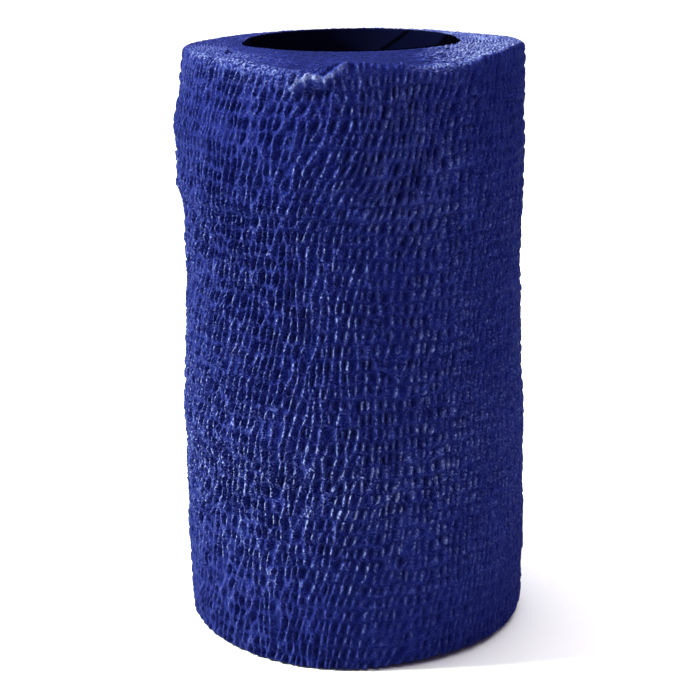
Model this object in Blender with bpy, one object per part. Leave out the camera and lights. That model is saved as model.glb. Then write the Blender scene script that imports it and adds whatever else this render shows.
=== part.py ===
"""Cohesive bandage roll, standing on its end.

A length of crinkled, self-clinging bandage is wound tight on a dark paper tube. The winding is
one solid: its wall swells and draws in a little from turn pressure, its top edge has slumped,
crept up and rounded unevenly, and at the back the free end of the outer turn stands as a thin
vertical step.

Units are metres, +Z runs up the roll's axis, the origin is the middle of the base, and the
front faces -Y. An azimuth is counted in degrees from the front towards +X.
"""

import math
from collections import namedtuple

import bpy

MM = 0.001

# Driving dimensions
BANDAGE_WIDTH = 100.0 * MM      # the cut width of the bandage, so the height of the roll
ROLL_RADIUS = 28.7 * MM         # mean outer radius of the winding
WINDING_BORE_RADIUS = 18.0 * MM
PIECE_GAP = 0.32 * MM           # between the winding and the tube it is wound on
TUBE_THICKNESS = 1.2 * MM
TURN_THICKNESS = 0.6 * MM       # one layer of crinkled bandage
TUBE_STANDS_PROUD = 0.4 * MM    # the tube's end over the winding's inner edge
FREE_END_GAP_DEG = 0.9          # the arc that the free end's cut edge takes up

# Mesh steps
STEPS_AROUND = 72
WALL_STEPS = 25
CORNER_STEPS = 4
TOP_STEPS = 5
SMOOTH_BELOW_DEG = 40.0

# How far the wall stands out from the mean radius, at the roll's left and right sides
WallRow = namedtuple("WallRow", "height_mm left_mm right_mm")
WALL_FORM = (
    WallRow(0.0, 0.4, 0.3),
    WallRow(8.0, 0.6, 0.4),
    WallRow(15.0, 0.7, 0.7),
    WallRow(23.0, 0.8, 0.5),
    WallRow(32.0, 0.5, 0.5),
    WallRow(38.5, 0.9, 0.3),
    WallRow(42.0, 0.5, 0.1),
    WallRow(47.0, 0.4, -0.2),
    WallRow(54.0, 0.0, -0.3),
    WallRow(63.0, -0.4, -0.5),
    WallRow(69.0, -0.3, -0.4),
    WallRow(74.5, -0.2, -0.2),
    WallRow(77.0, 0.7, -0.1),
    WallRow(83.0, 0.6, 0.0),
    WallRow(86.5, 0.9, -0.1),
    WallRow(90.0, 0.3, -0.1),
    WallRow(93.0, -0.4, -0.1),
    WallRow(97.0, -0.8, -0.2),
    WallRow(100.0, -1.2, -0.5),
)

# How far the outer turns have slumped at the top, less than nothing where they crept up, and how
# wide the rounded corners are there and at the foot
EdgeRow = namedtuple("EdgeRow", "azimuth_deg drop_mm corner_mm foot_mm")
EDGE_FORM = (
    EdgeRow(-180.0, 0.7, 1.2, 1.5),
    EdgeRow(-120.0, 0.6, 1.0, 1.6),
    EdgeRow(-80.0, 0.2, 0.7, 1.9),
    EdgeRow(-45.0, 0.4, 2.0, 1.4),
    EdgeRow(-17.0, 1.4, 1.7, 0.8),
    EdgeRow(0.0, 0.0, 0.8, 1.0),
    EdgeRow(13.0, 0.4, 1.2, 2.0),
    EdgeRow(26.0, 1.3, 1.8, 2.6),
    EdgeRow(39.0, 1.0, 1.7, 2.6),
    EdgeRow(52.0, 0.2, 0.9, 2.3),
    EdgeRow(70.0, -0.3, 0.6, 2.3),
    EdgeRow(90.0, 0.1, 0.8, 2.2),
    EdgeRow(135.0, 0.8, 1.2, 1.8),
    EdgeRow(180.0, 0.7, 1.2, 1.5),
)
SLUMP_POWER = 2.5               # the top stays level near the tube and shifts near the rim


def between_rows(rows, key):
    """A table's values at a key, eased from one row to the next."""
    if key <= rows[0][0]:
        return rows[0][1:]
    for lower, upper in zip(rows, rows[1:]):
        if key <= upper[0]:
            share = (key - lower[0]) / (upper[0] - lower[0])
            eased = share * share * (3.0 - 2.0 * share)
            return tuple(a + (b - a) * eased for a, b in zip(lower[1:], upper[1:]))
    return rows[-1][1:]


def wall_radius(azimuth_deg, height):
    """Radius of the winding's wall, uneven from side to side and wound as a spiral."""
    left, right = between_rows(WALL_FORM, height / MM)
    rightward = 0.5 + 0.5 * math.sin(math.radians(azimuth_deg))
    uneven = (left + (right - left) * rightward) * MM
    spiral = 0.5 * TURN_THICKNESS * (azimuth_deg / 180.0) ** 3
    return ROLL_RADIUS + uneven + spiral


def winding_section(azimuth_deg):
    """Radius and height of the winding's points at one azimuth, from the bore's lower edge."""
    drop, corner, foot = (value * MM for value in between_rows(EDGE_FORM, azimuth_deg))
    top = BANDAGE_WIDTH - TUBE_STANDS_PROUD
    corner_base = top - drop - corner
    rim_radius = wall_radius(azimuth_deg, corner_base)
    foot_radius = wall_radius(azimuth_deg, foot) - foot
    quarter_turns = [0.5 * math.pi * step / CORNER_STEPS for step in range(CORNER_STEPS + 1)]

    points = [(WINDING_BORE_RADIUS, 0.0)]
    for turn in quarter_turns[:-1]:
        points.append((foot_radius + foot * math.sin(turn), foot * (1.0 - math.cos(turn))))
    for step in range(WALL_STEPS + 1):
        height = foot + (corner_base - foot) * step / WALL_STEPS
        points.append((wall_radius(azimuth_deg, height), height))
    for turn in quarter_turns[1:]:
        points.append((rim_radius - corner * (1.0 - math.cos(turn)),
                       corner_base + corner * math.sin(turn)))
    top_span = rim_radius - corner - WINDING_BORE_RADIUS
    for step in reversed(range(TOP_STEPS)):
        share = step / TOP_STEPS
        points.append((WINDING_BORE_RADIUS + top_span * share,
                       top - drop * share ** SLUMP_POWER))
    return points


def tube_section(azimuth_deg):
    """Radius and height of the tube's points, from the bore's lower edge, the same all round."""
    outer = WINDING_BORE_RADIUS - PIECE_GAP
    inner = outer - TUBE_THICKNESS
    return [(inner, 0.0), (outer, 0.0), (outer, BANDAGE_WIDTH), (inner, BANDAGE_WIDTH)]


def azimuths_around():
    """Azimuths of the columns, from one side of the free end round to the other."""
    start = -180.0 + 0.5 * FREE_END_GAP_DEG
    span = 360.0 - FREE_END_GAP_DEG
    return [start + span * step / STEPS_AROUND for step in range(STEPS_AROUND + 1)]


def ring_of_sections(name, section, material):
    """A closed ring through the same points of a section at every azimuth."""
    columns = [(azimuth, section(azimuth)) for azimuth in azimuths_around()]
    vertices = []
    for azimuth, points in columns:
        angle = math.radians(azimuth)
        for radius, height in points:
            vertices.append((radius * math.sin(angle), -radius * math.cos(angle), height))
    count = len(columns[0][1])
    faces = []
    for column in range(len(columns)):
        here = column * count
        there = (column + 1) % len(columns) * count
        for row in range(count):
            above = (row + 1) % count
            faces.append((here + row, there + row, there + above, here + above))
    mesh = bpy.data.meshes.new(name)
    mesh.from_pydata(vertices, [], faces)
    mesh.materials.append(material)
    mesh.shade_smooth()
    mesh.set_sharp_from_angle(angle=math.radians(SMOOTH_BELOW_DEG))
    piece = bpy.data.objects.new(name, mesh)
    bpy.context.scene.collection.objects.link(piece)
    return piece


def plain_material(name, colour, roughness):
    material = bpy.data.materials.new(name)
    material.use_nodes = True
    surface = material.node_tree.nodes["Principled BSDF"]
    surface.inputs["Base Color"].default_value = (*colour, 1.0)
    surface.inputs["Roughness"].default_value = roughness
    surface.inputs["Metallic"].default_value = 0.0
    return material


def main():
    for old in list(bpy.data.objects):
        bpy.data.objects.remove(old, do_unlink=True)
    bandage = plain_material("royal_blue_bandage", (0.035, 0.05, 0.33), 0.9)
    tube = plain_material("dark_paper_tube", (0.004, 0.004, 0.015), 0.6)
    ring_of_sections("wound_bandage", winding_section, bandage)
    ring_of_sections("core_tube", tube_section, tube)


main()
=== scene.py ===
"""Looks of the cohesive bandage roll: crinkled cloth wound on a dark paper tube.

Lengths in the form functions are millimetres, and meshes are made in metres. An azimuth is
counted in degrees from the front, -Y, towards +X, and a turn is an azimuth as a share of 360.
The wall's form is the CAD winding's, and the crinkle is modelled on it: rows of pits between
elastic threads, walled off by narrow puckered ridges.
"""

import math
from collections import namedtuple

import bpy
import numpy as np
from mathutils import Matrix, Vector


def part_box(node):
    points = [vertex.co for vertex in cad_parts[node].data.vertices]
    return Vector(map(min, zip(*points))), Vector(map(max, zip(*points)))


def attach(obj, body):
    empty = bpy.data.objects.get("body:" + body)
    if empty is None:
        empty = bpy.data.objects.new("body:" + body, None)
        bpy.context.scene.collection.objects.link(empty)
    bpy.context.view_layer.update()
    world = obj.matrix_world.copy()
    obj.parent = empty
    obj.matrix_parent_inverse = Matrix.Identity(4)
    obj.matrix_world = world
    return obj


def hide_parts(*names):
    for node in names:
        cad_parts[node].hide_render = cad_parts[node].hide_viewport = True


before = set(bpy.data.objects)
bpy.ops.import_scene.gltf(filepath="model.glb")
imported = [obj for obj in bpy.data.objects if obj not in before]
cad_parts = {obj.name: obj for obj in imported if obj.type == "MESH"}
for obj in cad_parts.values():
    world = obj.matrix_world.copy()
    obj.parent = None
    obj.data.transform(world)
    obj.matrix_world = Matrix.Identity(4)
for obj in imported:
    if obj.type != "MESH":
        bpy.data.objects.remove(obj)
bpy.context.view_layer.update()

MM = 0.001
DEGREES_AROUND = 360.0
QUARTER_TURN = 0.5 * math.pi    # radians


# ---------------------------------------------------------------- sizes
def outer_radius(node):
    low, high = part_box(node)
    return 0.5 * (high[0] - low[0]) / MM


TUBE_OUTER_RADIUS = outer_radius("core_tube")
TUBE_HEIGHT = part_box("core_tube")[1][2] / MM
TUBE_THICKNESS = 1.2
TUBE_ROUNDING = 0.25            # of the edges of its ends
TUBE_STANDS_PROUD = 0.4         # over the winding's inner edge
PIECE_GAP = 0.32                # between the tube and the winding
WINDING_TOP = TUBE_HEIGHT - TUBE_STANDS_PROUD
WINDING_BORE_RADIUS = TUBE_OUTER_RADIUS + PIECE_GAP
BANDAGE_WIDTH = 100.0           # as cut, so the height of the roll
ROLL_RADIUS = 28.7              # mean outer radius of the winding
TURN_THICKNESS = 0.6            # one layer of crinkled bandage
FREE_END_GAP_DEG = 0.9          # the arc that the free end's cut edge takes up
HALF_TURN = 180.0 - 0.5 * FREE_END_GAP_DEG

# How far the wall stands out from the mean radius, at the roll's left and right sides
WallRow = namedtuple("WallRow", "height left right")
WALL_FORM = (
    WallRow(0.0, 0.4, 0.3),
    WallRow(8.0, 0.6, 0.4),
    WallRow(15.0, 0.7, 0.7),
    WallRow(23.0, 0.8, 0.5),
    WallRow(32.0, 0.5, 0.5),
    WallRow(38.5, 0.9, 0.3),
    WallRow(42.0, 0.5, 0.1),
    WallRow(47.0, 0.4, -0.2),
    WallRow(54.0, 0.0, -0.3),
    WallRow(63.0, -0.4, -0.5),
    WallRow(69.0, -0.3, -0.4),
    WallRow(74.5, -0.2, -0.2),
    WallRow(77.0, 0.7, -0.1),
    WallRow(83.0, 0.6, 0.0),
    WallRow(86.5, 0.9, -0.1),
    WallRow(90.0, 0.3, -0.1),
    WallRow(93.0, -0.4, -0.1),
    WallRow(97.0, -0.8, -0.2),
    WallRow(100.0, -1.2, -0.5),
)

# How far the outer turns have slumped at the top, and the rounded corners there and at the foot
EdgeRow = namedtuple("EdgeRow", "azimuth drop corner foot")
EDGE_FORM = (
    EdgeRow(-180.0, 0.7, 1.2, 1.5),
    EdgeRow(-120.0, 0.6, 1.0, 1.6),
    EdgeRow(-80.0, 0.2, 0.7, 1.9),
    EdgeRow(-45.0, 0.4, 2.0, 1.4),
    EdgeRow(-17.0, 1.4, 1.7, 0.8),
    EdgeRow(0.0, 0.0, 0.8, 1.0),
    EdgeRow(13.0, 0.4, 1.2, 2.0),
    EdgeRow(26.0, 1.3, 1.8, 2.6),
    EdgeRow(39.0, 1.0, 1.7, 2.6),
    EdgeRow(52.0, 0.2, 0.9, 2.3),
    EdgeRow(70.0, -0.3, 0.6, 2.3),
    EdgeRow(90.0, 0.1, 0.8, 2.2),
    EdgeRow(135.0, 0.8, 1.2, 1.8),
    EdgeRow(180.0, 0.7, 1.2, 1.5),
)
SLUMP_POWER = 2.5               # the top stays level near the tube and shifts near the rim

# The inner turns stand up round the hole at the front
COLLAR_HEIGHT = 0.36
COLLAR_WIDTH = 0.4              # as a share of the way from the hole to the rim
COLLAR_ENDS_DEG = 85.0
COLLAR_BLEND_DEG = 40.0

# Smooth noise: its seed, its cells in one turn, how high a cell is, and how strong it is
Noise = namedtuple("Noise", "seed cells size strength")
THREAD_WAVES = Noise(17, 18, 12.0, 0.40), Noise(18, 60, 4.0, 0.40)
COLUMN_WAVES = Noise(11, 12, 18.0, 1.1)
SLANT_WAVES = Noise(15, 9, 26.0, 0.22)
CREST_WIDTHS = Noise(22, 90, 3.0, 0.30)
CREST_HEIGHTS = Noise(19, 110, 2.4, 0.7)
PIT_DEPTHS = Noise(21, 16, 11.0, 0.25)
FIBRES = Noise(23, 640, 0.45, 0.06), Noise(24, 400, 0.7, 0.05)
WALL_DENTS = Noise(31, 22, 8.0, 0.12)
RIM_WAVES = Noise(49, 44, 3.0, 0.60)
LIP_WAVES = Noise(62, 240, 1.5, 0.14)
LIP_GAPS = Noise(61, 150, 1.2, 0.25)
FUZZ_WAVES = Noise(47, 60, 2.4, 1.6)
END_FIBRES = Noise(45, 330, 0.5, 0.16), Noise(46, 560, 0.3, 0.10)
END_PATCHES = Noise(48, 46, 1.6, 1.0)
FREE_END_RAGS = Noise(32, 40, 1.0, 0.35)    # its cells run up the free end, not round the roll

# Noise along rows, different on each one: its seed, its cells in one turn, and how strong it is
RowNoise = namedtuple("RowNoise", "seed cells strength")
ROW_SHIFTS = RowNoise(13, 17, 0.55), RowNoise(14, 60, 0.30)
TURN_WANDER = RowNoise(41, 150, 0.16), RowNoise(42, 320, 0.05)
TURN_EDGES = RowNoise(43, 60, 0.06), RowNoise(44, 220, 0.06)

# Stretches of the wall that differ: their middles, and how far they reach round and up
Zone = namedtuple("Zone", "azimuth wide height high")
LEANING = Zone(-39.6, 28.8, 86.0, 16.0)
FLATTENED = Zone(-55.0, 30.0, 91.0, 9.0)
FAINT = Zone(-38.0, 38.0, 88.0, 11.0)
MATTED = Zone(-25.0, 7.0, 97.6, 2.4)
MOUNDED = Zone(-20.0, 5.5, 96.9, 1.7)
DEEP = Zone(17.0, 19.0, 84.0, 13.0)
FLATTENING = 0.45               # how much lower the relief is in its zone
FAINTING = 0.35                 # how much weaker the crinkle shows in its zone
MATTING = 0.75                  # how much of the crinkle is lost in its zone
MATTED_GRIT = 0.45
MOUND_HEIGHT = 0.60
DEEPENING = 0.40                # how much stronger the relief is in the deep zone
DEEP_GRIT_LOSS = 0.3
DEEP_WORN_AND_HIGHLIGHT_LOSS = 0.4

# The crinkle
ROW_PITCH = 2.22                # from one elastic thread to the next
CELLS_AROUND = 132              # pits in one row
CELL_PITCH = 2.0 * math.pi * ROLL_RADIUS / CELLS_AROUND
ROW_STAGGER = 0.30              # how far each second row is shifted, in pits
SLANT = 0.40                    # how far the ridges lean to the right in a row's height, in pits
MORE_SLANT = 0.10               # how much more in the leaning zone
PIT_ASIDE_REACH = 0.28          # how far a pit strays sideways, in pits
PIT_ALOFT_REACH = 0.12          # how far it strays up and down, in rows
PIT_ROOM_REACH = 0.20           # how far its rim strays out and in
PIT_SHORTENING = 0.45           # of a pit's height, where its distance is measured
PIT_RADIUS = 0.73               # sideways, from its middle to where the ridge is level
PIT_DEPTH = 1.00                # of the deepest pits, below the cloth round them
MEAN_PIT_SINK = 0.68            # one pit's depth, as a share of the deepest
PIT_SINK_REACH = 0.45
LEAST_PIT_SINK = 0.25
MEAN_PIT_DEPTH = 0.85           # a share that changes slowly, over stretches of the wall
THREAD_DEPTH = 0.15             # of the furrow where a thread gathers the cloth
THREAD_WIDTH = 0.30
CREST_HEIGHT = 0.46             # of the pinched line along a ridge
CREST_WIDTH = 0.95
UPRIGHT_FROM = 0.45             # how upright a ridge must be to be pinched, and fully pinched
UPRIGHT_BLEND = 0.40
CREST_LOSS = 0.6                # how much of a crest, a pit and a worn line with its painted highlight a thread takes away
PIT_LOSS = 0.7
WORN_AND_HIGHLIGHT_LOSS = 0.85
NET_WIDTH = 0.64                # of the speckled tops of all the ridges
PROUD = -0.10                   # of the level cloth over the mean wall
LEFT_DEG = -61.2                # round here the pits run together into upright furrows
LEFT_WIDTH_DEG = 32.4
LEFT_TALLER = 0.13              # how much taller the pits are there
LEFT_THREAD_LOSS = 0.35         # how much weaker the threads are there
TABLE_ROWS = 256                # rows before the tables of chance repeat

# How full the crinkle stands at the rim
EDGE_FADE = 3.2                 # how far below the top edge it is full
RIM_FULLNESS = 0.50
LEAST_FULLNESS = 0.1

# The outermost layer's top edge, which has come loose at the front and sags
LipRow = namedtuple("LipRow", "azimuth height")
LIP = (
    LipRow(-22.0, 95.1),
    LipRow(-19.5, 95.7),
    LipRow(-15.6, 97.0),
    LipRow(-13.6, 97.6),
    LipRow(-11.6, 97.4),
    LipRow(-8.5, 97.1),
    LipRow(-6.5, 97.7),
    LipRow(-4.3, 98.7),
    LipRow(0.0, 99.5),
)
LIP_START_DEG = 4.0             # over how many degrees it fades in at the left, out at the right
LIP_END_DEG = 3.0
LIP_PROUD = 0.80
LIP_LOWER_HALF = 0.8            # how wide its rolled edge is, below its line and above it
LIP_UPPER_HALF = 0.28
LIP_BARE_FROM_DEG = -19.0       # right of here the smooth layer over it is bared
LIP_BARE_BLEND_DEG = 5.0
LIP_BARE_OVER = 0.2
LIP_BARE_BLEND = 0.6
LIP_HOLLOW_DEG = -10.5          # the undercut below it is deepest here
LIP_HOLLOW_WIDTH_DEG = 5.0

# Parts of its profile: their height over its line, how wide they are and how tall, or how pale the edge
# is painted as a highlight
ProfileRow = namedtuple("ProfileRow", "over wide full")
LIP_FURROW = ProfileRow(0.9, 0.5, -0.30)
LIP_HOLLOW = ProfileRow(-2.0, 0.8, -0.80)
LIP_HIGHLIGHT_LINE = ProfileRow(-0.2, 0.42, 0.80)

# The free end of the outer turn, at the back
FREE_EDGE_DEG = 5.0             # how wide it stands off, and the cloth under it dips
FREE_EDGE_PROUD = 0.40
FREE_EDGE_FLATTER = 0.5
UNDER_EDGE_DIP = 0.35
RAGGED_FROM_DEG = 150.0
RAGGED_BLEND_DEG = 30.0

# How fuzzy the cut edges of the turns are on the top, from pressed smooth to loose fibre, by the
# distance to the right of the axis, on its front half and its back half
FuzzRow = namedtuple("FuzzRow", "rightward fuzz")
FRONT_FUZZ = (
    FuzzRow(-29.0, 0.74),
    FuzzRow(-20.0, 0.72),
    FuzzRow(-15.0, 0.50),
    FuzzRow(-8.0, 0.14),
    FuzzRow(9.0, 0.14),
    FuzzRow(14.5, 0.92),
    FuzzRow(20.0, 1.16),
    FuzzRow(29.0, 1.10),
)
BACK_FUZZ = (
    FuzzRow(-29.0, 0.35),
    FuzzRow(-5.0, 0.55),
    FuzzRow(14.0, 0.92),
    FuzzRow(29.0, 0.92),
)
FRONT_TO_BACK = 8.0             # over which the one passes into the other
PRESSED_AND_SHADED_BY_HOLE = 0.7           # how much less fuzzy the turns by the hole are, at the left, which also paints them darker as painted shade
PRESSED_AND_SHADED_WIDTH = 3.0
PRESSED_AND_SHADED_BLEND_DEG = 30.0

# How pale the ridges' worn lines are round the roll, paler on the left where the lamp falls, so partly
# wear and partly painted highlight, how full the crinkle stands, and how much loose fibre speckles it,
# more on the lit left, partly as painted sparkle
WearAndHighlightRow = namedtuple("WearAndHighlightRow", "azimuth wear relief grit")
WEAR_AND_HIGHLIGHT = (
    WearAndHighlightRow(-180.0, 0.60, 0.85, 0.8),
    WearAndHighlightRow(-100.0, 0.80, 0.50, 1.0),
    WearAndHighlightRow(-76.0, 0.95, 0.78, 1.0),
    WearAndHighlightRow(-60.0, 1.05, 0.92, 1.15),
    WearAndHighlightRow(-35.0, 1.15, 1.00, 1.5),
    WearAndHighlightRow(-15.0, 1.00, 1.00, 1.4),
    WearAndHighlightRow(0.0, 0.90, 1.00, 1.1),
    WearAndHighlightRow(20.0, 0.70, 1.05, 0.8),
    WearAndHighlightRow(45.0, 0.35, 1.05, 0.8),
    WearAndHighlightRow(62.0, 0.25, 0.95, 0.8),
    WearAndHighlightRow(80.0, 0.20, 0.55, 0.8),
    WearAndHighlightRow(105.0, 0.30, 0.60, 0.7),
    WearAndHighlightRow(180.0, 0.60, 0.85, 0.8),
)

# How strongly the crinkle shows up the roll, from the foot that was pressed flat
BandRow = namedtuple("BandRow", "height strength")
BANDS = (
    BandRow(0.0, 0.65),
    BandRow(10.0, 0.70),
    BandRow(22.0, 1.00),
    BandRow(32.0, 1.28),
    BandRow(42.0, 1.08),
    BandRow(52.0, 1.03),
    BandRow(62.0, 0.97),
    BandRow(74.0, 1.03),
    BandRow(84.0, 1.06),
    BandRow(92.0, 1.16),
    BandRow(100.0, 1.10),
)
GRIT_BY_BAND = 1.7              # the powers by which grit and the worn lines with their painted highlight follow the bands
WORN_AND_HIGHLIGHT_BY_BAND = 1.5

# Levels at which it shows less strongly at the right
Level = namedtuple("Level", "height high")
FAINT_RIGHT = (Level(92.0, 13.0), Level(32.0, 8.0))
RIGHT_FAINTING = 0.25
RIGHT_FROM_DEG = 25.0
RIGHT_BLEND_DEG = 25.0

# Painted light and shade: how much paler the wall is painted over some levels, away from its front, and
# over others from one azimuth on, to the right where the blend is above nothing and to the left where it
# is below; these stand in for how the room's light falls on the wall
SidePaintedLight = namedtuple("SidePaintedLight", "height high paler")
SIDE_PAINTED_LIGHT = (
    SidePaintedLight(33.0, 17.0, 0.050),
    SidePaintedLight(95.0, 9.0, -0.025),
)
PaintedShadeRow = namedtuple("PaintedShadeRow", "height high start blend paler")
PAINTED_SHADE_ROWS = (
    PaintedShadeRow(4.0, 10.0, -15.0, 30.0, -0.03),
    PaintedShadeRow(95.0, 14.0, 35.0, 25.0, -0.03),
    PaintedShadeRow(90.0, 9.0, -40.0, -20.0, -0.03),
)
# How much of the side's painted light and shade is left out at the front, round which azimuth and how
# wide
UNPAINTED_FRONT = 0.9
UNPAINTED_FRONT_DEG = -1.0
UNPAINTED_FRONT_WIDTH_DEG = 28.0

# How frayed the cloth is round the roll, on the top's rounded corner and on the wall below it
FrayRow = namedtuple("FrayRow", "azimuth corner below")
FRAY = (
    FrayRow(-180.0, 0.4, 0.3),
    FrayRow(-110.0, 0.2, 0.4),
    FrayRow(-85.0, 0.25, 0.4),
    FrayRow(-60.0, 0.75, 0.8),
    FrayRow(-35.0, 0.9, 0.9),
    FrayRow(-22.0, 0.3, 1.2),
    FrayRow(-13.0, 0.1, 1.0),
    FrayRow(-5.0, 0.1, 0.4),
    FrayRow(12.0, 0.1, 0.4),
    FrayRow(20.0, 0.8, 0.3),
    FrayRow(36.0, 0.8, 0.1),
    FrayRow(45.0, 0.0, 0.0),
    FrayRow(100.0, 0.2, 0.0),
    FrayRow(180.0, 0.6, 0.3),
)
FRAYED_HEIGHT = 97.5            # the middle of the frayed band on the wall
FRAYED_WIDTH = 3.6
FRAYED_LEAN = 0.65              # the middle of the frayed corner, as a share of its bend
FRAYED_LEAN_WIDTH = 0.40
CUT_FROM_LEAN = 0.40            # from this share of the bend on, the cut edge shows
COMBED_WIDTH = 6.0              # round the frayed band the wall's own grit is less
COMBED_LOSS = 0.4

# Tufts that stand up from the top: where, how wide, how tall, and how much darker, or below
# nothing how much paler
TuftRow = namedtuple("TuftRow", "azimuth radius wide tall dark")
TOP_TUFTS = (
    TuftRow(-55.0, 23.8, 0.50, 0.65, 2.2),
    TuftRow(36.0, 23.9, 0.40, 0.35, 0.9),
    TuftRow(35.5, 27.0, 0.45, 0.30, 0.9),
    TuftRow(80.0, 24.5, 0.30, 0.30, 0.5),
    TuftRow(16.0, 27.6, 0.50, 0.35, -0.35),
    TuftRow(25.0, 27.4, 0.60, 0.45, -0.40),
    TuftRow(27.0, 24.6, 0.60, 0.30, -0.30),
    TuftRow(29.5, 26.4, 0.60, 0.35, -0.35),
    TuftRow(32.5, 27.6, 0.60, 0.45, -0.40),
    TuftRow(38.5, 22.3, 0.80, 0.30, -0.30),
    TuftRow(44.0, 26.5, 0.80, 0.35, -0.25),
)

# The grooves between the turns on the ends
GROOVE_DEPTH = 0.28
GROOVE_START = 0.04             # shares of the way to the rim over which they fade in and out
GROOVE_END = 0.10
GROOVE_LINE = 0.85              # how much darker their lines are
GROOVE_BALANCE = 0.20           # of that, how much paler a turn's middle is
FOOT_LEVEL = 0.05
FOOT_RELIEF = 0.6               # of the top's grooves and fibre
TUCK = 0.3                      # how far an end reaches in under the outer turn

# How much of the fibre, grooves and lines is left where the turns are pressed smooth
PRESSED_GRAIN = 0.1
PRESSED_GROOVES = 0.2
PRESSED_LINES = 0.4

# Shades of the cut edges: where they are pressed smooth, and how much is added in full fuzz. The tone is
# partly the loose fibre's own paleness and partly painted light: the pressed front of the top is painted
# darker, the fuzzy right paler
EndShade = namedtuple("EndShade", "pressed added")
END_TONE = EndShade(-0.06, 0.46)
END_PATCHINESS = EndShade(0.03, 0.07)
END_WORN_AND_HIGHLIGHT = EndShade(0.0, 0.4)
END_GRIT = EndShade(0.50, 0.60)

# Shades of the wall, added up: how pale each feature is, and how much it is speckled
# Painted shade: the pits are painted darker than the cloth round them, and darker still in the deep zone
RIDGE_TONE_OVER_PIT_SHADE = 0.12
DEEP_RIDGE_TONE = 0.15
DEEP_PIT_SHADE_TONE = 0.26
# The worn lines are partly wear and partly painted highlight
WORN_AND_HIGHLIGHT_TONE = 0.10
NET_TONE = 0.05
# Painted light: the ridges' left flanks are paler and their right flanks darker
LIT_FLANK_TONE = 0.09
# Painted highlight along the lip's edge
LIP_HIGHLIGHT_TONE = 0.20
FRAYED_TONE = 0.16
FREE_EDGE_TONE = 0.25
FREE_EDGE_POWER = 4
# Painted shadow: the cloth under the free edge is darker
UNDER_EDGE_SHADOW_TONE = -0.15
TUFT_TONE = -0.7
LEVEL_GRIT = 0.22
PIT_GRIT = -0.10
RIDGE_GRIT = 0.34
CORNER_GRIT = 0.80
BELOW_CORNER_GRIT = 0.25
LIT_FLANK_GAIN = 2.5                       # how much paler the ridges' left flanks, which face the lamp, are painted: painted light
WORN_AND_HIGHLIGHT_AT_FOOT = 1.25             # how pale the worn lines with their painted highlight are at the foot, and less with each mm up
WORN_AND_HIGHLIGHT_LESS_UP = 0.004

# The foot's corner keeps this much of the relief, and so does the cloth bared over the lip
FOOT_CORNER_RELIEF = 0.3
BARED_RELIEF = 0.2

# The seam of the tube's wound paper: where it meets the top end, and its rise going round
SEAM_AZIMUTH = 142.6
SEAM_RISE = math.tan(math.radians(34.0))

# Mesh steps
ARCS = 4
ARC_COLUMNS = 288
WALL_ROWS = 323
CORNER_ROWS = 10
TOP_COLUMNS = ARCS * ARC_COLUMNS
TOP_RINGS = 74
FOOT_COLUMNS = ARC_COLUMNS
FOOT_RINGS = 40
TUBE_COLUMNS = 120
TUBE_ROWS = 10


# ---------------------------------------------------------------- helpers
def ease(share):
    share = np.clip(share, 0.0, 1.0)
    return share * share * (3.0 - 2.0 * share)


def bell(offset, width):
    return np.exp(-(offset / width) ** 2)


def within(zone, azimuth, height):
    return bell(azimuth - zone.azimuth, zone.wide) * bell(height - zone.height, zone.high)


def at_least(low, share):
    """A share scaled so that nothing becomes low, and 1 stays 1."""
    return low + (1.0 - low) * share


def between_rows(rows, column, key):
    """A table's column at an array of keys, eased from row to row."""
    keys = np.array([row[0] for row in rows])
    values = np.array([getattr(row, column) for row in rows])
    key = np.clip(key, keys[0], keys[-1])
    lower = np.clip(np.searchsorted(keys, key, side="right") - 1, 0, len(keys) - 2)
    share = ease((key - keys[lower]) / (keys[lower + 1] - keys[lower]))
    return values[lower] + (values[lower + 1] - values[lower]) * share


def table_of_chance(seed, columns):
    return np.random.default_rng(seed).uniform(-1.0, 1.0, (columns, TABLE_ROWS))


def noise_along(seed, cells, turn, row):
    """Smooth noise in -1..1 along a row, different on each row, that repeats once a turn."""
    table = table_of_chance(seed, cells)
    across = (turn % 1.0) * cells
    cell = np.floor(across).astype(int)
    share = ease(across - cell)
    here = table[cell % cells, row % TABLE_ROWS]
    beside = table[(cell + 1) % cells, row % TABLE_ROWS]
    return here + (beside - here) * share


def row_waves(turn, row, *layers):
    """Layers of noise along rows, added up."""
    return sum(layer.strength * noise_along(layer.seed, layer.cells, turn, row) for layer in layers)


def waves(turn, up, *layers):
    """Layers of noise that is smooth both round the roll and up it, added up."""
    total = 0.0
    for layer in layers:
        level = up / layer.size + 0.25 * TABLE_ROWS
        row = np.floor(level).astype(int)
        low = noise_along(layer.seed, layer.cells, turn, row)
        high = noise_along(layer.seed, layer.cells, turn, row + 1)
        total = total + layer.strength * (low + (high - low) * ease(level - row))
    return total


# ---------------------------------------------------------------- the winding's form
def wall_radius(azimuth, height):
    left = between_rows(WALL_FORM, "left", height)
    right = between_rows(WALL_FORM, "right", height)
    rightward = 0.5 + 0.5 * np.sin(np.radians(azimuth))
    spiral = 0.5 * TURN_THICKNESS * (azimuth / 180.0) ** 3
    return ROLL_RADIUS + left + (right - left) * rightward + spiral


def edge_form(azimuth):
    return (between_rows(EDGE_FORM, name, azimuth) for name in ("drop", "corner", "foot"))


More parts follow.
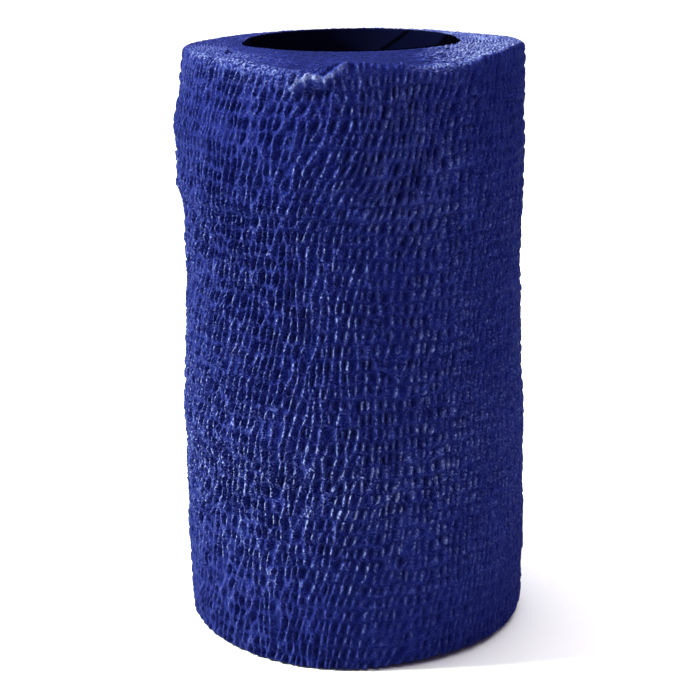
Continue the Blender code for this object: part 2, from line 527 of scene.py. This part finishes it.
def wall_section(azimuth):
    """Radius, height and lean of the outward direction, from the foot to the top face.

    azimuth is a column of values, and each result has a row of points for each of them.
    """
    drop, corner, foot = edge_form(azimuth)
    corner_base = WINDING_TOP - drop - corner
    foot_radius = wall_radius(azimuth, foot) - foot
    rim_radius = wall_radius(azimuth, corner_base)
    foot_turn = QUARTER_TURN * np.arange(CORNER_ROWS)[None, :] / CORNER_ROWS
    corner_turn = QUARTER_TURN * np.arange(1, CORNER_ROWS + 1)[None, :] / CORNER_ROWS
    wall_height = foot + (corner_base - foot) * np.linspace(0.0, 1.0, WALL_ROWS)[None, :]

    radius = np.concatenate([
        foot_radius + foot * np.sin(foot_turn),
        wall_radius(azimuth, wall_height),
        rim_radius - corner * (1.0 - np.cos(corner_turn))], axis=1)
    height = np.concatenate([
        foot * (1.0 - np.cos(foot_turn)),
        wall_height,
        corner_base + corner * np.sin(corner_turn)], axis=1)
    lean = np.concatenate([
        foot_turn - QUARTER_TURN + 0.0 * foot,
        0.0 * wall_height,
        corner_turn + 0.0 * corner], axis=1)
    return radius, height, lean


# ---------------------------------------------------------------- the crinkle
PIT_ASIDE, PIT_ALOFT, PIT_ROOM, PIT_SINK = (
    table_of_chance(seed, CELLS_AROUND) for seed in (51, 52, 53, 54))


def at_left(turn):
    return bell(DEGREES_AROUND * turn - LEFT_DEG, LEFT_WIDTH_DEG)


def nearest_pits(turn, height):
    """For each point: the way to the nearest pit, how much further the next one is, how upright
    the ridge between them is, the nearest one's place in the tables, and the way to a thread."""
    up = height + waves(turn, height, *THREAD_WAVES)
    along = CELLS_AROUND * turn + waves(turn, up, COLUMN_WAVES)
    level = up / ROW_PITCH
    slant = SLANT + waves(turn, up, SLANT_WAVES) \
        + MORE_SLANT * within(LEANING, DEGREES_AROUND * turn, up)
    shortening = PIT_SHORTENING * (1.0 - LEFT_TALLER * at_left(turn))
    first, second = np.full(turn.shape, np.inf), np.full(turn.shape, np.inf)
    first_way, second_way = np.zeros((2, *turn.shape)), np.zeros((2, *turn.shape))
    column, row = np.zeros(turn.shape, int), np.zeros(turn.shape, int)
    for row_step in (-1, 0, 1):
        this_row = np.floor(level).astype(int) + row_step
        above = level - this_row - 0.5
        shift = row_waves(turn, this_row, *ROW_SHIFTS) + ROW_STAGGER * (this_row % 2)
        beside = along + shift - slant * above
        for column_step in (-1, 0, 1):
            this_column = np.floor(beside).astype(int) + column_step
            spot = this_column % CELLS_AROUND, this_row % TABLE_ROWS
            aside = beside - this_column - 0.5 - PIT_ASIDE_REACH * PIT_ASIDE[spot]
            aloft = above - PIT_ALOFT_REACH * PIT_ALOFT[spot]
            way = np.stack([aside * CELL_PITCH, aloft * ROW_PITCH * shortening])
            distance = np.hypot(way[0], way[1]) - PIT_ROOM_REACH * PIT_ROOM[spot]
            nearest = distance < first
            next_nearest = ~nearest & (distance < second)
            second = np.where(nearest, first, np.where(next_nearest, distance, second))
            second_way = np.where(nearest, first_way, np.where(next_nearest, way, second_way))
            first = np.where(nearest, distance, first)
            first_way = np.where(nearest, way, first_way)
            column = np.where(nearest, this_column, column)
            row = np.where(nearest, this_row, row)
    apart = np.abs(second_way - first_way)
    upright = apart[0] / np.hypot(apart[0], apart[1])
    from_thread = np.abs(level - np.round(level)) * ROW_PITCH
    return first, second - first, upright, (column % CELLS_AROUND, row % TABLE_ROWS), from_thread


def crinkle(turn, height):
    """How far the cloth stands over the mean wall, and how much it is a pit, an upright ridge's
    pale line, worn and painted as highlight, and the net of all the ridges' tops."""
    from_pit, wall, upright, spot, from_thread = nearest_pits(turn, height)
    pit = ease(1.0 - np.maximum(from_pit, 0.0) / PIT_RADIUS)
    upright = ease((upright - UPRIGHT_FROM) / UPRIGHT_BLEND)
    crest = bell(wall, CREST_WIDTH * (1.0 + waves(turn, height, CREST_WIDTHS))) * upright
    thread = bell(from_thread, THREAD_WIDTH) * (1.0 - LEFT_THREAD_LOSS * at_left(turn))
    depth = PIT_DEPTH * np.clip(MEAN_PIT_SINK + PIT_SINK_REACH * PIT_SINK[spot], LEAST_PIT_SINK, 1.0)
    depth = depth * (MEAN_PIT_DEPTH + waves(turn, height, PIT_DEPTHS))
    height_of_crest = CREST_HEIGHT * (1.0 + waves(turn, height, CREST_HEIGHTS))
    relief = PROUD - THREAD_DEPTH * thread - depth * pit * (1.0 - PIT_LOSS * thread) \
        + height_of_crest * crest * (1.0 - CREST_LOSS * thread)
    net = bell(wall, NET_WIDTH)
    worn_and_highlight = net * upright * (1.0 - WORN_AND_HIGHLIGHT_LOSS * thread)
    return relief + waves(turn, height, *FIBRES), pit, worn_and_highlight, net


def crinkle_strengths(azimuth, height, top_of_wall):
    """How full the crinkle stands towards the rim, and how strongly it shows on the wall."""
    at_rim = np.clip(RIM_FULLNESS + waves(azimuth / DEGREES_AROUND, height, RIM_WAVES),
                     LEAST_FULLNESS, 1.0)
    fullness = at_least(at_rim, ease((top_of_wall - height) / EDGE_FADE))
    fullness = fullness * (1.0 - MATTING * within(MATTED, azimuth, height))
    at_right = ease((azimuth - RIGHT_FROM_DEG) / RIGHT_BLEND_DEG) \
        * sum(bell(height - level.height, level.high) for level in FAINT_RIGHT)
    strength = between_rows(BANDS, "strength", height) \
        * (1.0 - FAINTING * within(FAINT, azimuth, height)) * (1.0 - RIGHT_FAINTING * at_right)
    return fullness, strength


def crinkled_wall(azimuth, height, top_of_wall):
    """The wall's relief, and its base tone, with painted shade in the pits and painted light on the left
    flanks, its share of worn line and painted highlight, and its grit.
    """
    turn = azimuth / DEGREES_AROUND
    relief, pit, worn_and_highlight, net = crinkle(turn, height)
    fullness, strength = crinkle_strengths(azimuth, height, top_of_wall)
    deep = within(DEEP, azimuth, height)
    grit = (LEVEL_GRIT + PIT_GRIT * pit + RIDGE_GRIT * (net + worn_and_highlight) * fullness) \
        * strength ** GRIT_BY_BAND * between_rows(WEAR_AND_HIGHLIGHT, "grit", azimuth) \
        * (1.0 - DEEP_GRIT_LOSS * deep) * (1.0 - COMBED_LOSS * bell(height - FRAYED_HEIGHT, COMBED_WIDTH))
    relief = relief * between_rows(WEAR_AND_HIGHLIGHT, "relief", azimuth) * fullness * np.sqrt(strength) \
        * (1.0 - FLATTENING * within(FLATTENED, azimuth, height)) * (1.0 + DEEPENING * deep)
    # Painted light: left flanks, facing the lamp, are painted paler and keep more of the pale lines
    lit_flank = np.clip(LIT_FLANK_GAIN * np.gradient(relief, axis=0), -1.0, 1.0)
    worn_and_highlight = worn_and_highlight * fullness * ease(0.5 + lit_flank) * (WORN_AND_HIGHLIGHT_AT_FOOT - WORN_AND_HIGHLIGHT_LESS_UP * height) \
        * between_rows(WEAR_AND_HIGHLIGHT, "wear", azimuth) * strength ** WORN_AND_HIGHLIGHT_BY_BAND \
        * (1.0 - DEEP_WORN_AND_HIGHLIGHT_LOSS * deep)
    # Painted shade darkens the pits, most in the deep zone
    tone = RIDGE_TONE_OVER_PIT_SHADE * (1.0 - pit) + deep * (DEEP_RIDGE_TONE - DEEP_PIT_SHADE_TONE * pit) \
        + WORN_AND_HIGHLIGHT_TONE * worn_and_highlight + NET_TONE * net + LIT_FLANK_TONE * lit_flank
    relief = relief + np.minimum(waves(turn, height, WALL_DENTS), 0.0)
    return relief, tone, worn_and_highlight, grit


def painted_light_by_level(azimuth, height):
    """How much paler the wall is painted over whole stretches of it: painted light and shade."""
    aside = 1.0 - UNPAINTED_FRONT * bell(azimuth - UNPAINTED_FRONT_DEG, UNPAINTED_FRONT_WIDTH_DEG)
    paler = aside * sum(painted_row.paler * bell(height - painted_row.height, painted_row.high) for painted_row in SIDE_PAINTED_LIGHT)
    for painted_row in PAINTED_SHADE_ROWS:
        reach = ease((azimuth - painted_row.start) / painted_row.blend)
        paler = paler + painted_row.paler * reach * bell(height - painted_row.height, painted_row.high)
    return paler


def lip(azimuth, height):
    """The loose top edge at the front: how proud it makes the wall, how much is its edge painted pale as
    a highlight, and how much is the smooth layer bared over it."""
    turn = azimuth / DEGREES_AROUND
    over = height - between_rows(LIP, "height", azimuth) + waves(turn, height, LIP_WAVES)
    along = ease((azimuth - LIP[0].azimuth) / LIP_START_DEG) \
        * ease((LIP[-1].azimuth - azimuth) / LIP_END_DEG)
    edge = bell(over, np.where(over < 0.0, LIP_LOWER_HALF, LIP_UPPER_HALF))
    furrow = LIP_FURROW.full * bell(over - LIP_FURROW.over, LIP_FURROW.wide)
    hollow = LIP_HOLLOW.full * bell(over - LIP_HOLLOW.over, LIP_HOLLOW.wide) \
        * bell(azimuth - LIP_HOLLOW_DEG, LIP_HOLLOW_WIDTH_DEG)
    mound = MOUND_HEIGHT * within(MOUNDED, azimuth, height)
    highlight_line = bell(over - LIP_HIGHLIGHT_LINE.over, LIP_HIGHLIGHT_LINE.wide) \
        * (LIP_HIGHLIGHT_LINE.full + waves(turn, height, LIP_GAPS))
    bared = ease((azimuth - LIP_BARE_FROM_DEG) / LIP_BARE_BLEND_DEG) \
        * ease((over - LIP_BARE_OVER) / LIP_BARE_BLEND)
    return along * (LIP_PROUD * edge + furrow + hollow) + mound, along * highlight_line, along * bared


# ---------------------------------------------------------------- the turns' cut edges
def end_fuzz(azimuth, radius):
    """How fuzzy the cut edges are, from pressed smooth to loose fibre."""
    angle = np.radians(azimuth)
    rightward = radius * np.sin(angle) + waves(azimuth / DEGREES_AROUND, radius, FUZZ_WAVES)
    # Painted shade: by the hole at the left the turns are made smoother, and so painted darker
    pressed_and_shaded_by_hole = bell(radius - WINDING_BORE_RADIUS, PRESSED_AND_SHADED_WIDTH) * ease(-azimuth / PRESSED_AND_SHADED_BLEND_DEG)
    front = between_rows(FRONT_FUZZ, "fuzz", rightward) * (1.0 - PRESSED_AND_SHADED_BY_HOLE * pressed_and_shaded_by_hole)
    back = between_rows(BACK_FUZZ, "fuzz", rightward)
    return front + (back - front) * ease(0.5 - radius * np.cos(angle) / FRONT_TO_BACK)


def end_grain(azimuth, radius):
    """Height of the loose fibre on the turns' cut edges."""
    grain = waves(azimuth / DEGREES_AROUND, radius, *END_FIBRES)
    return grain * at_least(PRESSED_GRAIN, end_fuzz(azimuth, radius))


def end_shades(azimuth, radius):
    """Base tone, partly painted light, share of worn line and painted highlight, and grit of the turns'
    cut edges.
    """
    fuzz = end_fuzz(azimuth, radius)
    # The tone follows the fuzz, partly as the fibre's own paleness and partly as painted light
    tone, patchiness, worn_and_highlight, grit = (
        shade.pressed + shade.added * fuzz for shade in (END_TONE, END_PATCHINESS, END_WORN_AND_HIGHLIGHT, END_GRIT))
    return tone + patchiness * waves(azimuth / DEGREES_AROUND, radius, END_PATCHES), worn_and_highlight, grit


def tufts(azimuth, radius):
    """Height of the top's tufts, and how much darker they are."""
    height, darker = 0.0 * radius, 0.0 * radius
    for tuft in TOP_TUFTS:
        around = np.radians(azimuth - tuft.azimuth) * tuft.radius
        share = bell(around, tuft.wide) * bell(radius - tuft.radius, tuft.wide)
        height = height + tuft.tall * share
        darker = darker + tuft.dark * share
    return height, darker


# ---------------------------------------------------------------- meshes
def mesh_piece(name, points, faces, material, shades):
    """A smooth-shaded piece from arrays, with named values on its points for the material."""
    mesh = bpy.data.meshes.new(name)
    mesh.vertices.add(len(points))
    mesh.vertices.foreach_set("co", np.asarray(points, np.float32).ravel())
    faces = np.asarray(faces, np.int32)
    mesh.loops.add(faces.size)
    mesh.loops.foreach_set("vertex_index", faces.ravel())
    mesh.polygons.add(len(faces))
    mesh.polygons.foreach_set("loop_start", np.arange(0, faces.size, faces.shape[1], dtype=np.int32))
    mesh.update(calc_edges=True)
    mesh.validate()
    mesh.shade_smooth()
    for label, values in shades.items():
        layer = mesh.attributes.new(label, "FLOAT", "POINT")
        layer.data.foreach_set("value", np.asarray(values, np.float32).ravel())
    mesh.materials.append(material)
    piece = bpy.data.objects.new(name, mesh)
    bpy.context.scene.collection.objects.link(piece)
    return piece


def polar(azimuth, radius, height):
    """Points in metres from azimuths in degrees, and radii and heights in millimetres."""
    angle = np.radians(azimuth)
    return np.stack([radius * np.sin(angle), -radius * np.cos(angle), height], axis=-1) * MM


def grid_faces(columns, rows, flip=False):
    """Quads of a grid stored column by column, facing out when rows climb and columns go +."""
    here = (np.arange(columns - 1)[:, None] * rows + np.arange(rows - 1)[None, :]).ravel()
    faces = np.stack([here, here + rows, here + rows + 1, here + 1], axis=1)
    return faces[:, ::-1] if flip else faces


def outer_turn():
    """The outermost layer, its crinkle modelled, in arcs that meet in the same points."""
    azimuth = np.linspace(-HALF_TURN, HALF_TURN, TOP_COLUMNS + 1)[:, None]
    radius, height, lean = wall_section(azimuth)
    azimuths = np.broadcast_to(azimuth, radius.shape)
    above_foot = ease(height / between_rows(EDGE_FORM, "foot", azimuth))
    bend = lean / QUARTER_TURN
    cut = ease((bend - CUT_FROM_LEAN) / (1.0 - CUT_FROM_LEAN))
    free_edge = ease(1.0 - (HALF_TURN - azimuths) / FREE_EDGE_DEG)
    under_edge = ease(1.0 - (HALF_TURN + azimuths) / FREE_EDGE_DEG)
    top_of_wall = WINDING_TOP - between_rows(EDGE_FORM, "drop", azimuth)
    relief, tone, worn_and_highlight, grit = crinkled_wall(azimuths, height, top_of_wall)
    lip_relief, lip_highlight, bared = lip(azimuths, height)
    raised, darker = tufts(azimuths, radius)

    relief = relief * (1.0 - FREE_EDGE_FLATTER * free_edge) \
        + FREE_EDGE_PROUD * free_edge - UNDER_EDGE_DIP * under_edge
    relief = relief * at_least(FOOT_CORNER_RELIEF, above_foot) * at_least(BARED_RELIEF, 1.0 - bared)
    relief = (relief + lip_relief) * (1.0 - cut) + (end_grain(azimuths, radius) + raised) * cut

    cut = np.maximum(cut, bared)
    corner_fray = bell(bend - FRAYED_LEAN, FRAYED_LEAN_WIDTH) * between_rows(FRAY, "corner", azimuths)
    below_fray = bell(height - FRAYED_HEIGHT, FRAYED_WIDTH) * between_rows(FRAY, "below", azimuths)
    end_tone, end_worn_and_highlight, end_grit = end_shades(azimuths, radius)
    # Painted shadow under the free edge, a painted highlight on the lip's edge, and painted light and
    # shade by level go into the tone
    tone = tone + LIP_HIGHLIGHT_TONE * lip_highlight + FREE_EDGE_TONE * free_edge ** FREE_EDGE_POWER \
        + UNDER_EDGE_SHADOW_TONE * under_edge + FRAYED_TONE * below_fray + painted_light_by_level(azimuths, height)
    tone = tone * (1.0 - cut) + (end_tone + TUFT_TONE * darker) * cut + FRAYED_TONE * corner_fray
    grit = grit * (1.0 - cut) + end_grit * cut + CORNER_GRIT * corner_fray \
        + BELOW_CORNER_GRIT * below_fray + MATTED_GRIT * within(MATTED, azimuths, height)
    # The lip's edge joins the pale lines as a painted highlight
    worn_and_highlight = np.maximum(worn_and_highlight * (1.0 - cut) + end_worn_and_highlight * cut, lip_highlight)

    radius = radius + relief * np.cos(lean)
    height = np.maximum(height + relief * np.sin(lean), 0.0)
    ragged = waves(height / BANDAGE_WIDTH, 0.0 * height, FREE_END_RAGS) \
        * ease((np.abs(azimuths) - RAGGED_FROM_DEG) / RAGGED_BLEND_DEG)
    points = polar(azimuths + np.degrees(ragged / ROLL_RADIUS), radius, height)

    pieces = []
    for arc in range(ARCS):
        columns = list(range(arc * ARC_COLUMNS, (arc + 1) * ARC_COLUMNS + 1))
        if arc == ARCS - 1:
            columns.append(0)
        pieces.append(mesh_piece(
            f"outer_turn_{arc + 1}", points[columns].reshape(-1, 3),
            grid_faces(len(columns), radius.shape[1]), BANDAGE,
            {"tone": tone[columns], "worn_and_highlight": worn_and_highlight[columns], "grit": grit[columns]}))
    return pieces


def wound_end(name, columns, rings, top):
    """The cut edges of all the turns at one end of the roll, tucked under the outer turn."""
    azimuth = np.linspace(-HALF_TURN, HALF_TURN, columns + 1)[:, None]
    drop, corner, foot = edge_form(azimuth)
    if top:
        rim = wall_radius(azimuth, WINDING_TOP - drop - corner) - corner
    else:
        rim = wall_radius(azimuth, foot) - foot
    share = np.linspace(0.0, 1.0, rings + 1)[None, :]
    radius = WINDING_BORE_RADIUS + (rim - WINDING_BORE_RADIUS) * share
    azimuths = np.broadcast_to(azimuth, radius.shape)
    turn = azimuths / DEGREES_AROUND
    fuzz = end_fuzz(azimuths, radius)

    turns = (ROLL_RADIUS - WINDING_BORE_RADIUS) / TURN_THICKNESS
    layer = share * turns - turn
    layer = layer + row_waves(turn, np.floor(layer).astype(int), *TURN_WANDER)
    index = np.floor(layer).astype(int)
    aside = np.abs(layer - index - 0.5) * 2.0
    grooves = (row_waves(turn, index, *TURN_EDGES) - GROOVE_DEPTH * aside ** 2) \
        * ease(share / GROOVE_START) * ease((1.0 - share) / GROOVE_END)
    grain = end_grain(azimuths, radius)
    tone, worn_and_highlight, grit = end_shades(azimuths, radius)
    tone = tone + GROOVE_LINE * (GROOVE_BALANCE - aside ** 2) * at_least(PRESSED_LINES, fuzz)
    if top:
        raised, darker = tufts(azimuths, radius)
        collar = COLLAR_HEIGHT * (1.0 - ease(share / COLLAR_WIDTH)) \
            * ease((COLLAR_ENDS_DEG - np.abs(azimuths)) / COLLAR_BLEND_DEG)
        height = WINDING_TOP - drop * share ** SLUMP_POWER + collar \
            + grooves * at_least(PRESSED_GROOVES, fuzz) + grain + raised
        tone = tone + TUFT_TONE * darker
        grit = grit * (1.0 - np.clip(darker, 0.0, 1.0))
        inward = -TUCK
    else:
        height = np.maximum(FOOT_LEVEL - FOOT_RELIEF * (grooves + grain), 0.0)
        inward = TUCK
    radius = np.concatenate([radius, radius[:, -1:] + TUCK], axis=1)
    height = np.concatenate([height, height[:, -1:] + inward], axis=1)
    tone, worn_and_highlight, grit = (np.concatenate([shade, shade[:, -1:]], axis=1) for shade in (tone, worn_and_highlight, grit))
    points = polar(azimuth, radius, height)
    order = list(range(columns + 1)) + [0]
    return mesh_piece(name, points[order].reshape(-1, 3), grid_faces(len(order), rings + 2, flip=top),
                      BANDAGE, {"tone": tone[order], "worn_and_highlight": worn_and_highlight[order], "grit": grit[order]})


def wound_tube():
    """The paper tube, the edges of its ends a little rounded."""
    inner = TUBE_OUTER_RADIUS - TUBE_THICKNESS
    rounded = [inner + TUBE_ROUNDING, TUBE_OUTER_RADIUS - TUBE_ROUNDING]
    climb = np.linspace(TUBE_ROUNDING, TUBE_HEIGHT - TUBE_ROUNDING, TUBE_ROWS)
    radius = np.concatenate([
        np.full(TUBE_ROWS, inner), rounded, np.full(TUBE_ROWS, TUBE_OUTER_RADIUS), rounded[::-1]])
    height = np.concatenate([climb, [TUBE_HEIGHT] * 2, climb[::-1], [0.0] * 2])
    azimuth = np.linspace(-180.0, 180.0, TUBE_COLUMNS, endpoint=False)[:, None]
    points = polar(azimuth, radius[None, :], height[None, :] + 0.0 * azimuth)
    count = len(radius)
    column = np.arange(TUBE_COLUMNS)[:, None] * count
    beside = (np.arange(TUBE_COLUMNS)[:, None] + 1) % TUBE_COLUMNS * count
    row = np.arange(count)[None, :]
    above = (row + 1) % count
    faces = np.stack([column + row, column + above, beside + above, beside + row], axis=-1)
    return mesh_piece("paper_tube", points.reshape(-1, 3), faces.reshape(-1, 4), TUBE, {})


# ---------------------------------------------------------------- materials
Texture = namedtuple("Texture", "scale detail roughness")
CLOTH_FIBRE = Texture(4800.0, 2.0, 0.7)
CLOTH_SPECK = Texture(2700.0, 1.0, 0.7)
CLOTH_GLEAM = Texture(330.0, 2.0, 0.5)
CLOTH_PATCH = Texture(55.0, 3.0, 0.5)
PAPER_GRAIN = Texture(900.0, 4.0, 0.6)

# A value that is scaled and shifted before it is used
Range = namedtuple("Range", "gain offset")
GLEAM_RANGE = Range(2.6, -0.85)
SPECK_RANGE = Range(2.0, -1.0)
PATCH_TONE = 0.2
LINE_TONE = 0.65
GRAIN_SHIFT = 0.004             # how unevenly the paper's shade changes along the strip

# Colours from the darkest pits, their darkness painted shade, to the palest fibre, which is partly
# painted highlight
CLOTH_TONES = (
    (0.00, (0.0008, 0.0024, 0.052)),
    (0.20, (0.0068, 0.0112, 0.136)),
    (0.40, (0.0205, 0.0270, 0.195)),
    (0.65, (0.0660, 0.0840, 0.310)),
    (1.00, (0.2500, 0.2900, 0.600)),
)
CLOTH_ROUGHNESS = ((0.35, (0.45,) * 3), (0.70, (0.70,) * 3))
CLOTH_SURFACE = {
    "Specular IOR Level": 0.02,
    "Sheen Weight": 0.12,
    "Sheen Roughness": 0.35,
    "Sheen Tint": (0.24, 0.31, 1.0, 1.0),
}

# Colours across the tube's wound strip, from the seam's shadow on: the navy beside the seam is painted
# light, and the black further on is the paper's own near-black and painted shadow
PAPER_BLACK = (0.0003, 0.0003, 0.0015)
PAPER_LIT_BLUE = (0.0014, 0.0017, 0.0110)
PAPER_TONES = (
    (0.0060, PAPER_BLACK),
    (0.0090, (0.0020, 0.0023, 0.0140)),
    (0.1800, (0.0014, 0.0015, 0.0080)),
    (0.4000, PAPER_BLACK),
    (0.9000, PAPER_BLACK),
    (0.9120, PAPER_LIT_BLUE),
    (0.9950, PAPER_LIT_BLUE),
    (0.9980, PAPER_BLACK),
)
PAPER_SURFACE = {"Roughness": 0.80, "Specular IOR Level": 0.0}
FLOOR_SURFACE = {"Base Color": (0.93, 0.93, 0.93, 1.0), "Roughness": 0.9, "Specular IOR Level": 0.1}

# How strongly a texture bumps the surface, and how high, in metres
Bump = namedtuple("Bump", "strength distance")
CLOTH_BUMP = Bump(0.9, 0.0005)
PAPER_BUMP = Bump(0.3, 0.0002)


def node_material(name, surface_values):
    material = bpy.data.materials.new(name)
    material.use_nodes = True
    surface = material.node_tree.nodes["Principled BSDF"]
    for label, value in surface_values.items():
        surface.inputs[label].default_value = value
    return material, material.node_tree, surface


def add(tree, kind, **settings):
    node = tree.nodes.new(kind)
    for label, value in settings.items():
        setattr(node, label, value)
    return node


def noise_at(tree, place, texture):
    noise = add(tree, "ShaderNodeTexNoise")
    noise.inputs["Scale"].default_value = texture.scale
    noise.inputs["Detail"].default_value = texture.detail
    noise.inputs["Roughness"].default_value = texture.roughness
    tree.links.new(place, noise.inputs["Vector"])
    return noise.outputs["Fac"]


def maths(tree, operation, *values):
    node = add(tree, "ShaderNodeMath", operation=operation)
    for socket, value in zip(node.inputs, values):
        if isinstance(value, (int, float)):
            socket.default_value = value
        else:
            tree.links.new(value, socket)
    return node.outputs[0]


def ramp(tree, source, stops):
    node = add(tree, "ShaderNodeValToRGB")
    elements = node.color_ramp.elements
    for index, (position, colour) in enumerate(stops):
        element = elements[index] if index < 2 else elements.new(position)
        element.position = position
        element.color = (*colour, 1.0)
    tree.links.new(source, node.inputs["Fac"])
    return node.outputs["Color"]


def bumped(tree, surface, height, look):
    bump = add(tree, "ShaderNodeBump")
    bump.inputs["Strength"].default_value = look.strength
    bump.inputs["Distance"].default_value = look.distance
    tree.links.new(height, bump.inputs["Height"])
    tree.links.new(bump.outputs["Normal"], surface.inputs["Normal"])


def bandage_material():
    """Blue cloth, its colour read from the tone, the share of worn line and painted highlight, and the
    grit of its points.
    """
    material, tree, surface = node_material("blue_crinkled_bandage", CLOTH_SURFACE)
    place = add(tree, "ShaderNodeTexCoord").outputs["Object"]
    tone, worn_and_highlight, grit = (add(tree, "ShaderNodeAttribute", attribute_name=name).outputs["Fac"]
                        for name in ("tone", "worn_and_highlight", "grit"))
    fibre, speck, gleam, patch = (
        noise_at(tree, place, texture)
        for texture in (CLOTH_FIBRE, CLOTH_SPECK, CLOTH_GLEAM, CLOTH_PATCH))
    # The pale lines are partly wear and partly painted highlight, broken up by the gleam
    line = maths(tree, "MULTIPLY", worn_and_highlight, maths(tree, "MULTIPLY_ADD", gleam, *GLEAM_RANGE))
    grains = maths(tree, "MULTIPLY", grit, maths(tree, "MULTIPLY_ADD", speck, *SPECK_RANGE))
    tone = maths(tree, "MULTIPLY_ADD", patch, PATCH_TONE, tone)
    tone = maths(tree, "MULTIPLY_ADD", line, LINE_TONE, tone)
    tone = maths(tree, "ADD", tone, grains)
    tree.links.new(ramp(tree, tone, CLOTH_TONES), surface.inputs["Base Color"])
    tree.links.new(ramp(tree, speck, CLOTH_ROUGHNESS), surface.inputs["Roughness"])
    bumped(tree, surface, maths(tree, "ADD", fibre, speck), CLOTH_BUMP)
    return material


def tube_material():
    """Near-black paper, its strip's edge a slanting seam round the inside, with a navy band painted
    beside the seam as painted light.
    """
    material, tree, surface = node_material("dark_paper_tube", PAPER_SURFACE)
    place = add(tree, "ShaderNodeTexCoord").outputs["Object"]
    grain = noise_at(tree, place, PAPER_GRAIN)
    parts = add(tree, "ShaderNodeSeparateXYZ")
    tree.links.new(place, parts.inputs[0])
    inner = (TUBE_OUTER_RADIUS - TUBE_THICKNESS) * MM
    around = maths(tree, "ARCTAN2", parts.outputs["X"], maths(tree, "MULTIPLY", parts.outputs["Y"], -1.0))
    lead = 2.0 * math.pi * inner * SEAM_RISE
    climb = maths(tree, "MULTIPLY_ADD", around, inner * SEAM_RISE, parts.outputs["Z"])
    seam_climb = math.radians(SEAM_AZIMUTH) * inner * SEAM_RISE + TUBE_HEIGHT * MM
    strip = maths(tree, "FRACT", maths(tree, "MULTIPLY_ADD", climb, 1.0 / lead, -seam_climb / lead))
    shade = maths(tree, "MULTIPLY_ADD", grain, GRAIN_SHIFT, strip)
    # The strip's colours paint light as a navy band beside the seam, and shadow as black beyond it
    tree.links.new(ramp(tree, shade, PAPER_TONES), surface.inputs["Base Color"])
    bumped(tree, surface, grain, PAPER_BUMP)
    return material


BANDAGE = bandage_material()
TUBE = tube_material()

# ---------------------------------------------------------------- camera, light and floor
IMAGE_SIDE = 700                # pixels
FOCAL_PIXELS = 1789.0
SENSOR = 36.0                   # mm
CAMERA_PLACE = (-0.78, -297.7, 131.5)
CAMERA_PITCH_DOWN = 15.90
CAMERA_ROLL = -0.69
CAMERA_NEAR = 0.01              # metres
CAMERA_FAR = 50.0

# Round lamps, placed in metres, with their power in watts
Lamp = namedtuple("Lamp", "name place aim size power colour")
LAMPS = (
    Lamp("key_left", (-0.72, -0.06, 0.54), (0.0, 0.0, 0.055), 0.15, 21.2, (0.93, 1.06, 0.77)),
    Lamp("overhead", (0.0, 0.45, 1.70), (0.0, 0.45, 0.0), 2.4, 60.0, (1.0, 1.0, 1.0)),
)
ROOM_COLOUR = (0.885, 0.675, 1.04, 1.0)
ROOM_STRENGTH = 0.165
FLOOR_REACH = 6.0               # metres


def camera():
    data = bpy.data.cameras.new("camera")
    data.sensor_width = SENSOR
    data.lens = FOCAL_PIXELS * SENSOR / IMAGE_SIDE
    data.clip_start = CAMERA_NEAR
    data.clip_end = CAMERA_FAR
    seen = bpy.data.objects.new("camera", data)
    bpy.context.scene.collection.objects.link(seen)
    seen.matrix_world = (
        Matrix.Translation([value * MM for value in CAMERA_PLACE])
        @ Matrix.Rotation(math.radians(90.0 - CAMERA_PITCH_DOWN), 4, "X")
        @ Matrix.Rotation(math.radians(CAMERA_ROLL), 4, "Z"))
    bpy.context.scene.camera = seen


def area_light(lamp):
    data = bpy.data.lights.new(lamp.name, "AREA")
    data.shape = "DISK"
    data.size = lamp.size
    data.energy = lamp.power
    data.color = lamp.colour
    light = bpy.data.objects.new(lamp.name, data)
    bpy.context.scene.collection.objects.link(light)
    direction = (Vector(lamp.aim) - Vector(lamp.place)).normalized()
    turned = direction.to_track_quat("-Z", "Y").to_matrix().to_4x4()
    light.matrix_world = Matrix.Translation(lamp.place) @ turned


def soft_room():
    world = bpy.data.worlds.new("soft_room")
    world.use_nodes = True
    background = world.node_tree.nodes["Background"]
    background.inputs["Color"].default_value = ROOM_COLOUR
    background.inputs["Strength"].default_value = ROOM_STRENGTH
    bpy.context.scene.world = world
    bpy.context.scene.view_settings.view_transform = "Standard"


def pale_floor():
    mesh = bpy.data.meshes.new("floor")
    corners = [(x * FLOOR_REACH, y * FLOOR_REACH, 0.0) for x, y in ((-1, -1), (1, -1), (1, 1), (-1, 1))]
    mesh.from_pydata(corners, [], [(0, 1, 2, 3)])
    mesh.materials.append(node_material("pale_floor", FLOOR_SURFACE)[0])
    floor = bpy.data.objects.new("floor", mesh)
    bpy.context.scene.collection.objects.link(floor)


# ---------------------------------------------------------------- the scene
def main():
    camera()
    for lamp in LAMPS:
        area_light(lamp)
    soft_room()
    pale_floor()
    cloth = outer_turn()
    cloth.append(wound_end("wound_edges_top", TOP_COLUMNS, TOP_RINGS, True))
    cloth.append(wound_end("wound_edges_foot", FOOT_COLUMNS, FOOT_RINGS, False))
    for piece in cloth:
        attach(piece, "root")
        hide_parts("wound_bandage")
    tube = wound_tube()
    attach(tube, "root")
    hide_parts("core_tube")


main()
